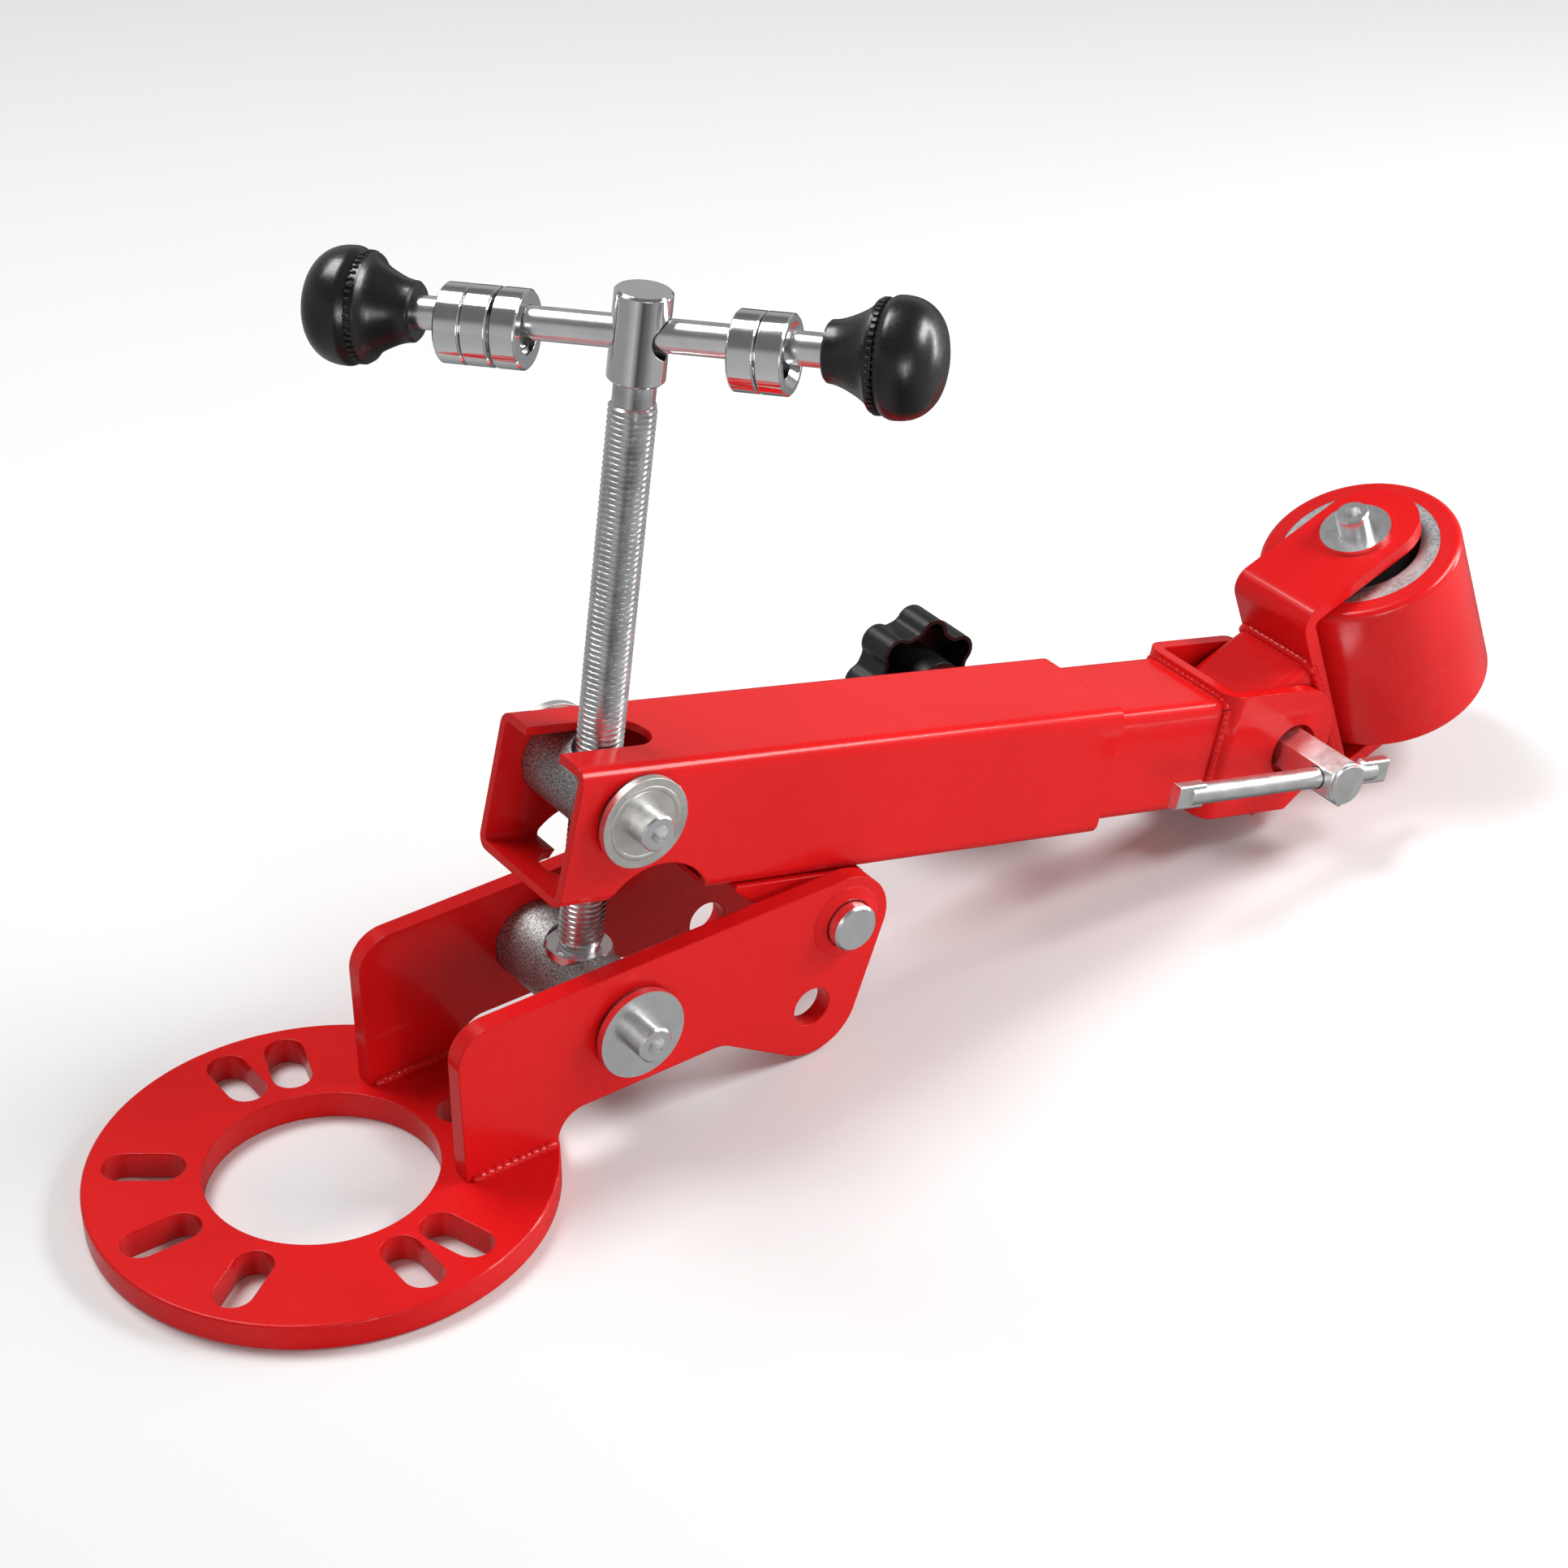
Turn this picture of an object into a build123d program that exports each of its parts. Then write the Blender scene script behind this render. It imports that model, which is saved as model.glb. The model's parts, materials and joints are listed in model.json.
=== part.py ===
"""Fender roller: a hub-mounted tool that rolls the lip of a wheel arch flat.

Frame: the origin is the centre of the hub plate's mounting face, +X points along the
arm, +Y to the side of the star knob and +Z away from the wheel hub. Units are mm.
"""

import os
from math import cos, hypot, radians, sin

from build123d import *

os.makedirs("parts", exist_ok=True)

# ---- hub plate -------------------------------------------------------------------
PLATE_R = 80.0
PLATE_T = 10.0
PLATE_BORE_R = 40.0
SLOT_MID_R = 59.8
SLOT_LENGTH = 28.5
SLOT_WIDTH = 14.0
STUD_ANGLES = (0, 90, 180, 270, 72, 144, 216, 288)

# ---- cheeks ----------------------------------------------------------------------
CHEEK_OUTER_Y = 36.0
CHEEK_T = 7.0
CHEEK_LEFT_X = 35.0
CHEEK_FOOT_END_X = 71.0
CHEEK_TOP_Z = 68.5
CHEEK_UNDER_Z = 21.0
CHEEK_CORNER_R = 13.0
CHEEK_RELIEF_R = 10.9
CHEEK_DIP_X = 138.5
CHEEK_DIP_END = (166.0, 3.95)
PIVOT = (191.4, 51.0)
PIVOT_LOBE_R = 17.5
SPARE_HOLE = (176.4, 20.7)
SPARE_LOBE_R = 19.7
CHEEK_HOLE_R = 7.5

# ---- pivot pin -------------------------------------------------------------------
PIN_R = 7.45
PIN_HEAD_R = 8.75
PIN_HEAD_T = 6.2
PIN_END_Y = 42.0
PIN_CLIP_Y = 36.4
CLIP_T = 1.2
CLIP_DEPTH = 0.8
CLIP_WIDTH = 3.0
CLIP_SIDE_PLAY = 0.1

# ---- outer tube and its pivot lugs -----------------------------------------------
ARM_TILT = 14.8
TUBE = 50.8
TUBE_WALL = 3.0
TUBE_CORNER_R = 5.0
TUBE_BOTTOM_H = 13.5
TUBE_TOP_H = TUBE_BOTTOM_H + TUBE
TUBE_MID_H = TUBE_BOTTOM_H + TUBE / 2
TUBE_LEFT_S = -116.5
TUBE_RIGHT_S = 122.0
TUBE_SLOT_HALF = 10.0
TOP_SLOT_END_S = -75.0
BOTTOM_SLOT_START_S = -102.0
NOTCH_S, NOTCH_H, NOTCH_R = -76.1, 3.3, 23.7
LUG_T = 6.0
LUG_R = 12.3
LUG_ROOT_S = -43.6

# ---- trunnions and their end screws ----------------------------------------------
LOWER_TRUNNION = (103.0, 44.5)
UPPER_TRUNNION_S, UPPER_TRUNNION_H = -91.9, 46.1
LOWER_BAR_R, LOWER_BAR_HALF = 14.5, 38.4
UPPER_BAR_R, UPPER_BAR_HALF = 15.0, 27.4
TRUNNION_FIT = 0.1
WASHER_R, WASHER_T, WASHER_BORE_R = 16.5, 3.0, 4.3
CAP_R, CAP_HEAD_R, CAP_HEAD_H, CAP_LENGTH = 4.0, 6.5, 8.0, 14.0
CAP_HOLE_R, CAP_HOLE_DEPTH = 4.1, 16.0
SOCKET_AF, SOCKET_DEPTH = 6.0, 4.0

# ---- screw, as distances along it from the lower trunnion's centre -----------------
SCREW_R = 8.0
SCREW_FREE_R = 9.2
FOOT_R, FOOT_BORE_R, FOOT_END_D = 6.0, 6.1, -14.5
SPOT_FACE_R, SPOT_FACE_D = 12.3, 10.0
COLLAR_R, COLLAR_T = 11.8, 3.5
FOOT_CLIP_D = -11.4
NECK_R, NECK_START_D = 7.0, 212.0
CROSS_HEAD_R, CROSS_HEAD_START_D, CROSS_HEAD_END_D = 9.5, 220.0, 250.0
CROSS_BORE_D, CROSS_BORE_R = 235.5, 7.0

# ---- handle, as distances along it from the screw's axis ---------------------------
HANDLE_TURN = -53.0
HANDLE_TILT = 7.0
HANDLE_R = 5.5
HANDLE_OFFSET = -6.6
HANDLE_HALF = 87.5
NECK_TO_MIDDLE = 68.0
KNOB_BORE_R = 5.6
KNOB_BORE_DEPTH = 22.0
KNOB_LENGTH, KNOB_CAP_R, KNOB_CAP_WIDEST, KNOB_FULLNESS = 37.6, 19.3, 22.5, 0.82
KNOB_MOUTH_R, KNOB_WAIST_R, KNOB_WAIST = 9.9, 12.4, 9.0
KNOB_SEAM_R, KNOB_SEAM_START, KNOB_SEAM_END = 17.6, 18.2, 18.5
SPACER_R, SPACER_BORE_R, SPACER_SEAT_R, SPACER_W = 13.0, 8.0, 10.5, 8.9
SPACER_SEAT_DEPTH = 2.5
SPACER_DROP = 2.45
SPACER_STARTS = (-65.2, -56.1, -46.2, 31.9, 41.1)

# ---- extension: inner tube, star knob and yoke --------------------------------------
INNER_TUBE = 44.4
INNER_CORNER_R = 4.5
INNER_LEFT_S = -15.0
YOKE_BACK_S, YOKE_END_S, YOKE_T = 176.0, 234.5, 5.0
YOKE_HALF = 25.5
YOKE_BEND_R = 7.0
YOKE_CORNER_R, YOKE_CHAMFER = 18.0, 14.0
HINGE_S = 216.5
NUT_HOLE_R = 11.0
STAR_S = 99.2
STAR_TIP_R, STAR_LOBE_R, STAR_VALLEY_R, STAR_LOBES = 25.6, 6.5, 20.8, 7
STAR_BLEND_R, STAR_WALL, STAR_TURN = 4.0, 1.6, 37.0
STAR_BOSS_Y, STAR_FRONT_Y, STAR_BACK_Y = 51.0, 60.0, 76.0
STAR_BOSS_R, STAR_EDGE_R = 12.0, 2.0
STUD_R, STUD_BORE_R, STUD_TIP_Y, STUD_END_Y = 5.0, 5.1, 22.4, 68.0
WELD_NUT_R, WELD_NUT_T = 10.0, 10.0

# ---- head clamp ----------------------------------------------------------------------
BOLT_R, BOLT_HOLE_R, BOLT_END_Y = 5.0, 5.2, -39.0
BOLT_HEAD_AF, BOLT_HEAD_T = 17.0, 6.4
NUT_AF, NUT_INNER_Y, NUT_SHOULDER_Y, NUT_END_Y = 17.0, -20.1, -54.4, -56.0
NUT_END_R, NUT_BORE_R, NUT_BORE_END_Y = 7.8, 5.1, -41.0
TOMMY_Y, TOMMY_R, TOMMY_HOLE_R = -47.0, 4.0, 4.4
TOMMY_LEFT, TOMMY_RIGHT, TOMMY_FLAT_LENGTH, TOMMY_FLAT_T, TOMMY_FLAT_W = -82.0, 28.0, 13.0, 5.0, 9.6

# ---- head, as distances along it (a) and up it (u) from the hinge --------------------
HEAD_PITCH = 18.0
STUB_W, STUB_H, STUB_WALL, STUB_CORNER_R = 40.0, 50.0, 4.0, 5.0
STUB_LEFT_A, FORK_BACK_A = -20.0, 21.0
FORK_T, FORK_HALF_W, FORK_BEND_R = 5.5, 20.0, 8.0
FORK_LOW_U, FORK_HIGH_U = -36.0, 49.0
AXLE_A, FORK_PAST_AXLE = 68.0, 6.0
AXLE_R, AXLE_HOLE_R = 10.0, 4.3
AXLE_WASHER_R, AXLE_WASHER_T = 13.7, 2.0
ROLLER_LOW_U, ROLLER_HIGH_U = -28.0, 41.0
ROLLER_HIGH_R, ROLLER_LOW_R, ROLLER_EDGE_R = 39.2, 40.4, 3.0
CORE_R, CORE_WAIST_R = 31.0, 20.0
BEARING_R, BEARING_W, BEARING_RECESS = 23.5, 14.0, 3.0
BEARING_BORE_R, RACE_R, SEAL_R = 10.05, 13.0, 13.3

FIT = 0.05
EDGE = 0.8
FINE_EDGE = 0.6

Y_AXIS = Vector(0, 1, 0)
ARM_X = Vector(cos(radians(ARM_TILT)), 0, -sin(radians(ARM_TILT)))
ARM_Z = Vector(sin(radians(ARM_TILT)), 0, cos(radians(ARM_TILT)))
HEAD_X = Vector(cos(radians(HEAD_PITCH)), 0, sin(radians(HEAD_PITCH)))
HEAD_Z = Vector(-sin(radians(HEAD_PITCH)), 0, cos(radians(HEAD_PITCH)))
PIVOT_CENTRE = Vector(PIVOT[0], 0, PIVOT[1])
LOWER_CENTRE = Vector(LOWER_TRUNNION[0], 0, LOWER_TRUNNION[1])


# ---- planes and shapes used by several pieces -----------------------------------------
def arm_point(s, h):
    """The point s along the arm and h above its pivot."""
    return PIVOT_CENTRE + ARM_X * s + ARM_Z * h


UPPER_CENTRE = arm_point(UPPER_TRUNNION_S, UPPER_TRUNNION_H)
HINGE_CENTRE = arm_point(HINGE_S, TUBE_MID_H)
SCREW_Z = (UPPER_CENTRE - LOWER_CENTRE).normalized()
SCREW_X = Y_AXIS.cross(SCREW_Z)
CROSS_BORE_Z = SCREW_X * cos(radians(HANDLE_TURN)) + Y_AXIS * sin(radians(HANDLE_TURN))
HANDLE_Z = CROSS_BORE_Z * cos(radians(HANDLE_TILT)) + SCREW_Z * sin(radians(HANDLE_TILT))
HANDLE_UP = SCREW_Z * cos(radians(HANDLE_TILT)) - CROSS_BORE_Z * sin(radians(HANDLE_TILT))


def side_plane(y, origin=Vector(0, 0, 0), x_dir=Vector(1, 0, 0)):
    """A plane at y whose extrusions run towards -Y, drawn with x along x_dir and y upwards."""
    return Plane(origin=origin + Y_AXIS * y, x_dir=x_dir, z_dir=(0, -1, 0))


def bar_plane(y, centre, x_dir=Vector(1, 0, 0)):
    """A plane at y over a centre line that runs across the tool, facing +Y."""
    return Plane(origin=centre + Y_AXIS * y, x_dir=x_dir, z_dir=Y_AXIS)


def arm_section(s):
    """The arm's cross-section at s, drawn with x towards +Y and y up the arm."""
    return Plane(origin=arm_point(s, TUBE_MID_H), x_dir=Y_AXIS, z_dir=ARM_X)


def arm_plan(h):
    """A plane over the arm at height h, drawn with x along the arm."""
    return Plane(origin=arm_point(0, h), x_dir=ARM_X, z_dir=ARM_Z)


def screw_plane(d):
    """A plane square to the screw, d along it."""
    return Plane(origin=LOWER_CENTRE + SCREW_Z * d, x_dir=SCREW_X, z_dir=SCREW_Z)


def handle_plane(t, drop=0.0, flip=False):
    """A plane square to the handle bar, t along it and drop below it; flip faces the other way."""
    origin = screw_plane(CROSS_BORE_D).origin + HANDLE_Z * t - HANDLE_UP * drop
    return Plane(origin=origin, x_dir=HANDLE_UP, z_dir=-HANDLE_Z if flip else HANDLE_Z)


def head_plane(a, u):
    """A plane facing up the head, drawn with x along the head."""
    return Plane(origin=HINGE_CENTRE + HEAD_X * a + HEAD_Z * u, x_dir=HEAD_X, z_dir=HEAD_Z)


def profile_plane(plane):
    """The plane through another plane's axis, drawn with x outwards and y along that axis."""
    return Plane(origin=plane.origin, x_dir=plane.x_dir, z_dir=plane.x_dir.cross(plane.z_dir))


def turned(plane, *points):
    """Add a solid of revolution about the plane's axis from (radius, distance) points."""
    with BuildSketch(profile_plane(plane)) as profile:
        with BuildLine():
            Polyline(*points, close=True)
        make_face()
    revolve(profile.sketch, axis=Axis(plane.origin, plane.z_dir))


def rod(plane, start, end, radius, mode=Mode.ADD):
    """Add or cut a cylinder along the plane's axis, between two distances from the plane."""
    with BuildSketch(plane.offset(start)) as section:
        Circle(radius)
    extrude(section.sketch, amount=end - start, mode=mode)


def hollow_section(width, height, corner_r, wall):
    """Draw a rectangular tube's section in the current sketch."""
    RectangleRounded(width, height, corner_r)
    inner_corner_r = max(corner_r - wall, 1.5)
    RectangleRounded(width - 2 * wall, height - 2 * wall, inner_corner_r, mode=Mode.SUBTRACT)


def round_corner(sketch, x, y, radius):
    """Round the corner of a sketch nearest to a point."""
    fillet(sketch.vertices().sort_by_distance((x, y, 0))[:1], radius)


def cap_screw(plane):
    """Add a socket head cap screw whose head stands on the plane."""
    turned(
        plane,
        (0, -CAP_LENGTH),
        (CAP_R, -CAP_LENGTH),
        (CAP_R, 0),
        (CAP_HEAD_R, 0),
        (CAP_HEAD_R, CAP_HEAD_H - FINE_EDGE),
        (CAP_HEAD_R - FINE_EDGE, CAP_HEAD_H),
        (0, CAP_HEAD_H),
    )
    with BuildSketch(plane.offset(CAP_HEAD_H)) as socket:
        RegularPolygon(SOCKET_AF / 2, 6, major_radius=False)
    extrude(socket.sketch, amount=-SOCKET_DEPTH, mode=Mode.SUBTRACT)


def retaining_ring(plane, shaft_r):
    """Add an open retaining ring that stands on the plane and seats in a shaft's groove."""
    seat_r = shaft_r - CLIP_DEPTH + CLIP_SIDE_PLAY
    with BuildSketch(plane) as ring:
        Circle(shaft_r + CLIP_WIDTH)
        Circle(seat_r, mode=Mode.SUBTRACT)
        with Locations((shaft_r + CLIP_WIDTH / 2, 0)):
            Rectangle(2 * CLIP_WIDTH + CLIP_DEPTH + 2, 0.9 * shaft_r, mode=Mode.SUBTRACT)
    extrude(ring.sketch, amount=CLIP_T)


def ring_groove(plane, shaft_r):
    """Cut the groove that a retaining ring standing on the plane seats in."""
    with BuildSketch(plane.offset(-CLIP_SIDE_PLAY)) as groove:
        Circle(shaft_r + 1)
        Circle(shaft_r - CLIP_DEPTH, mode=Mode.SUBTRACT)
    extrude(groove.sketch, amount=CLIP_T + 2 * CLIP_SIDE_PLAY, mode=Mode.SUBTRACT)


def cheek(outer_y):
    """One upright plate, welded to the hub plate by its foot, with its outer face at outer_y."""
    with BuildPart() as plate:
        with BuildSketch(side_plane(outer_y)) as outline:
            with BuildSketch(mode=Mode.PRIVATE) as lobes:
                with Locations(PIVOT):
                    Circle(PIVOT_LOBE_R)
                with Locations(SPARE_HOLE):
                    Circle(SPARE_LOBE_R)
                make_hull()
            add(lobes.sketch)
            with BuildLine():
                Polyline(
                    (CHEEK_LEFT_X, PLATE_T),
                    (CHEEK_FOOT_END_X, PLATE_T),
                    (CHEEK_FOOT_END_X, CHEEK_UNDER_Z),
                    (CHEEK_DIP_X, CHEEK_UNDER_Z),
                    CHEEK_DIP_END,
                    SPARE_HOLE,
                    PIVOT,
                    (PIVOT[0], CHEEK_TOP_Z),
                    (CHEEK_LEFT_X, CHEEK_TOP_Z),
                    close=True,
                )
            make_face()
            round_corner(outline, CHEEK_LEFT_X, CHEEK_TOP_Z, CHEEK_CORNER_R)
            round_corner(outline, CHEEK_FOOT_END_X, CHEEK_UNDER_Z, CHEEK_RELIEF_R)
            round_corner(outline, CHEEK_DIP_X, CHEEK_UNDER_Z, CHEEK_CORNER_R)
            with Locations(PIVOT, SPARE_HOLE):
                Circle(CHEEK_HOLE_R, mode=Mode.SUBTRACT)
            with Locations(LOWER_TRUNNION):
                Circle(LOWER_BAR_R + TRUNNION_FIT, mode=Mode.SUBTRACT)
        extrude(amount=CHEEK_T)
    return plate.part


def trunnion(centre, bar_r, half_length):
    """Add a round cross bar with a tapped hole in each end."""
    turned(
        bar_plane(0, centre),
        (0, -half_length),
        (bar_r - EDGE, -half_length),
        (bar_r, -half_length + EDGE),
        (bar_r, half_length - EDGE),
        (bar_r - EDGE, half_length),
        (0, half_length),
    )
    rod(bar_plane(0, centre), half_length - CAP_HOLE_DEPTH, half_length, CAP_HOLE_R, Mode.SUBTRACT)
    rod(bar_plane(0, centre), -half_length, -half_length + CAP_HOLE_DEPTH, CAP_HOLE_R, Mode.SUBTRACT)


def end_washers(plane, radius, thickness, bore_r):
    """Add a washer that stands on the plane, and its twin on the other side of the tool."""
    with BuildSketch(plane) as ring:
        Circle(radius)
        Circle(bore_r, mode=Mode.SUBTRACT)
    extrude(ring.sketch, amount=thickness)
    mirror(about=Plane.XZ)


def finish(part, name):
    """Name a finished piece and write its STEP file."""
    part.label = name
    export_step(part, f"parts/{name}.step")


# ---- hub bracket -----------------------------------------------------------------------
with BuildPart() as hub_plate:
    with BuildSketch(Plane.XY):
        Circle(PLATE_R)
        Circle(PLATE_BORE_R, mode=Mode.SUBTRACT)
        for angle in STUD_ANGLES:
            with Locations(Rotation(0, 0, angle) * Location((SLOT_MID_R, 0, 0))):
                SlotOverall(SLOT_LENGTH, SLOT_WIDTH, mode=Mode.SUBTRACT)
    extrude(amount=PLATE_T)
    chamfer(hub_plate.edges().filter_by(GeomType.CIRCLE).group_by(SortBy.RADIUS)[-1], FINE_EDGE)
finish(hub_plate.part, "hub_plate")

finish(cheek(-CHEEK_OUTER_Y + CHEEK_T), "near_cheek")
finish(cheek(CHEEK_OUTER_Y), "far_cheek")

with BuildPart() as pivot_pin:
    pin_axis = bar_plane(0, PIVOT_CENTRE)
    head_end = -CHEEK_OUTER_Y - PIN_HEAD_T
    turned(
        pin_axis,
        (0, head_end),
        (PIN_HEAD_R - EDGE, head_end),
        (PIN_HEAD_R, head_end + EDGE),
        (PIN_HEAD_R, -CHEEK_OUTER_Y),
        (PIN_R, -CHEEK_OUTER_Y),
        (PIN_R, PIN_END_Y - 1.5),
        (PIN_R - 1.5, PIN_END_Y),
        (0, PIN_END_Y),
    )
    ring_groove(bar_plane(PIN_CLIP_Y, PIVOT_CENTRE), PIN_R)
finish(pivot_pin.part, "pivot_pin")

with BuildPart() as pivot_pin_clip:
    retaining_ring(bar_plane(PIN_CLIP_Y, PIVOT_CENTRE), PIN_R)
finish(pivot_pin_clip.part, "pivot_pin_clip")

# ---- arm -------------------------------------------------------------------------------
with BuildPart() as outer_tube:
    with BuildSketch(arm_section(TUBE_LEFT_S)):
        hollow_section(TUBE, TUBE, TUBE_CORNER_R, TUBE_WALL)
    extrude(amount=TUBE_RIGHT_S - TUBE_LEFT_S)
    with BuildSketch(arm_plan(TUBE_TOP_H + 1)):
        with Locations(((TUBE_LEFT_S + TOP_SLOT_END_S) / 2 - TUBE_SLOT_HALF, 0)):
            SlotOverall(TOP_SLOT_END_S - TUBE_LEFT_S + 2 * TUBE_SLOT_HALF, 2 * TUBE_SLOT_HALF)
    extrude(amount=-TUBE_WALL - 2, mode=Mode.SUBTRACT)
    with BuildSketch(arm_plan(TUBE_BOTTOM_H - 1)):
        with Locations(((BOTTOM_SLOT_START_S + NOTCH_S) / 2, 0)):
            SlotOverall(NOTCH_S - BOTTOM_SLOT_START_S + TUBE_SLOT_HALF, 2 * TUBE_SLOT_HALF)
    extrude(amount=TUBE_WALL + 2, mode=Mode.SUBTRACT)
    with BuildSketch(side_plane(TUBE, PIVOT_CENTRE, ARM_X)):
        with Locations((NOTCH_S, NOTCH_H)):
            Circle(NOTCH_R)
        with Locations((UPPER_TRUNNION_S, UPPER_TRUNNION_H)):
            Circle(UPPER_BAR_R + TRUNNION_FIT)
    extrude(amount=2 * TUBE, mode=Mode.SUBTRACT)
    rod(bar_plane(0, arm_point(STAR_S, TUBE_MID_H)), 0, TUBE, STUD_BORE_R + 0.4, Mode.SUBTRACT)
finish(outer_tube.part, "outer_tube")

with BuildPart() as pivot_lugs:
    with BuildSketch(side_plane(TUBE / 2, PIVOT_CENTRE, ARM_X)):
        with BuildSketch(mode=Mode.PRIVATE) as ear:
            Circle(LUG_R)
            with Locations((LUG_ROOT_S + 1, TUBE_BOTTOM_H - 1), (LUG_R - 1, TUBE_BOTTOM_H - 1)):
                Circle(1)
            make_hull()
        add(ear.sketch)
        Circle(CHEEK_HOLE_R, mode=Mode.SUBTRACT)
    extrude(amount=LUG_T)
    mirror(about=Plane.XZ)
finish(pivot_lugs.part, "pivot_lugs")

with BuildPart() as knob_nut:
    star_centre = arm_point(STAR_S, TUBE_MID_H)
    with BuildSketch(bar_plane(TUBE / 2, star_centre)):
        Circle(WELD_NUT_R)
        Circle(STUD_BORE_R, mode=Mode.SUBTRACT)
    extrude(amount=WELD_NUT_T)
    chamfer(knob_nut.faces().sort_by(Axis.Y)[-1].edges().sort_by(SortBy.LENGTH)[-1:], EDGE)
finish(knob_nut.part, "knob_nut")

# ---- trunnions --------------------------------------------------------------------------
with BuildPart() as upper_trunnion:
    trunnion(UPPER_CENTRE, UPPER_BAR_R, UPPER_BAR_HALF)
    screw_distance = (UPPER_CENTRE - LOWER_CENTRE).length
    rod(screw_plane(screw_distance), -2 * UPPER_BAR_R, 2 * UPPER_BAR_R, SCREW_FREE_R, Mode.SUBTRACT)
finish(upper_trunnion.part, "upper_trunnion")

with BuildPart() as upper_washers:
    end_washers(bar_plane(UPPER_BAR_HALF, UPPER_CENTRE), WASHER_R, WASHER_T, WASHER_BORE_R)
finish(upper_washers.part, "upper_washers")

with BuildPart() as upper_cap_screws:
    cap_screw(bar_plane(UPPER_BAR_HALF + WASHER_T, UPPER_CENTRE))
    mirror(about=Plane.XZ)
finish(upper_cap_screws.part, "upper_cap_screws")

with BuildPart() as lower_trunnion:
    trunnion(LOWER_CENTRE, LOWER_BAR_R, LOWER_BAR_HALF)
    rod(screw_plane(0), -2 * LOWER_BAR_R, 2 * LOWER_BAR_R, FOOT_BORE_R, Mode.SUBTRACT)
    rod(screw_plane(0), SPOT_FACE_D, 2 * LOWER_BAR_R, SPOT_FACE_R, Mode.SUBTRACT)
    rod(screw_plane(0), -2 * LOWER_BAR_R, -SPOT_FACE_D, SPOT_FACE_R, Mode.SUBTRACT)
finish(lower_trunnion.part, "lower_trunnion")

with BuildPart() as lower_washers:
    end_washers(bar_plane(LOWER_BAR_HALF, LOWER_CENTRE), WASHER_R, WASHER_T, WASHER_BORE_R)
finish(lower_washers.part, "lower_washers")

with BuildPart() as lower_cap_screws:
    cap_screw(bar_plane(LOWER_BAR_HALF + WASHER_T, LOWER_CENTRE))
    mirror(about=Plane.XZ)
finish(lower_cap_screws.part, "lower_cap_screws")

# ---- screw -------------------------------------------------------------------------------
with BuildPart() as adjusting_screw:
    collar_top = SPOT_FACE_D + COLLAR_T
    turned(
        screw_plane(0),
        (0, FOOT_END_D),
        (FOOT_R - 1, FOOT_END_D),
        (FOOT_R, FOOT_END_D + 1),
        (FOOT_R, collar_top),
        (SCREW_R - 1, collar_top),
        (SCREW_R, collar_top + 1),
        (SCREW_R, NECK_START_D - 1),
        (NECK_R, NECK_START_D),
        (NECK_R, CROSS_HEAD_START_D),
        (0, CROSS_HEAD_START_D),
    )
    ring_groove(screw_plane(FOOT_CLIP_D), FOOT_R)
finish(adjusting_screw.part, "adjusting_screw")

with BuildPart() as thrust_collar:
    with BuildSketch(screw_plane(SPOT_FACE_D)):
        Circle(COLLAR_R)
        Circle(FOOT_R + FIT, mode=Mode.SUBTRACT)
    extrude(amount=COLLAR_T)
    chamfer(thrust_collar.edges().group_by(SortBy.LENGTH)[-1].sort_by(Axis.Z)[-1:], FINE_EDGE)
finish(thrust_collar.part, "thrust_collar")

with BuildPart() as foot_clip:
    retaining_ring(screw_plane(FOOT_CLIP_D), FOOT_R)
finish(foot_clip.part, "foot_clip")

with BuildPart() as cross_head:
    turned(
        screw_plane(0),
        (0, CROSS_HEAD_START_D),
        (CROSS_HEAD_R - EDGE, CROSS_HEAD_START_D),
        (CROSS_HEAD_R, CROSS_HEAD_START_D + EDGE),
        (CROSS_HEAD_R, CROSS_HEAD_END_D - EDGE),
        (CROSS_HEAD_R - EDGE, CROSS_HEAD_END_D),
        (0, CROSS_HEAD_END_D),
    )
    cross_bore = Plane(origin=screw_plane(CROSS_BORE_D).origin, x_dir=SCREW_Z, z_dir=CROSS_BORE_Z)
    rod(cross_bore, -2 * CROSS_HEAD_R, 2 * CROSS_HEAD_R, CROSS_BORE_R, Mode.SUBTRACT)
finish(cross_head.part, "cross_head")

# ---- handle ------------------------------------------------------------------------------
with BuildPart() as handle_bar:
    turned(
        handle_plane(HANDLE_OFFSET),
        (0, -HANDLE_HALF),
        (HANDLE_R - EDGE, -HANDLE_HALF),
        (HANDLE_R, -HANDLE_HALF + EDGE),
        (HANDLE_R, HANDLE_HALF - EDGE),
        (HANDLE_R - EDGE, HANDLE_HALF),
        (0, HANDLE_HALF),
    )
finish(handle_bar.part, "handle_bar")

knob_planes = (
    handle_plane(HANDLE_OFFSET + NECK_TO_MIDDLE),
    handle_plane(HANDLE_OFFSET - NECK_TO_MIDDLE, flip=True),
)

with BuildPart() as knob_necks:
    for plane in knob_planes:
        with BuildSketch(profile_plane(plane)):
            with BuildLine():
                Polyline(
                    (KNOB_SEAM_R, KNOB_SEAM_START - 2.6),
                    (KNOB_SEAM_R, KNOB_SEAM_START),
                    (KNOB_BORE_R, KNOB_SEAM_START),
                    (KNOB_BORE_R, 0),
                    (KNOB_MOUTH_R - EDGE, 0),
                    (KNOB_MOUTH_R, EDGE),
                )
                Spline(
                    (KNOB_MOUTH_R, EDGE),
                    (KNOB_WAIST_R, KNOB_WAIST),
                    (KNOB_SEAM_R, KNOB_SEAM_START - 2.6),
                    tangents=((0.05, 1), (0.9, 0.5)),
                )
            make_face()
        revolve(axis=Axis(plane.origin, plane.z_dir))
finish(knob_necks.part, "knob_necks")

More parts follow.
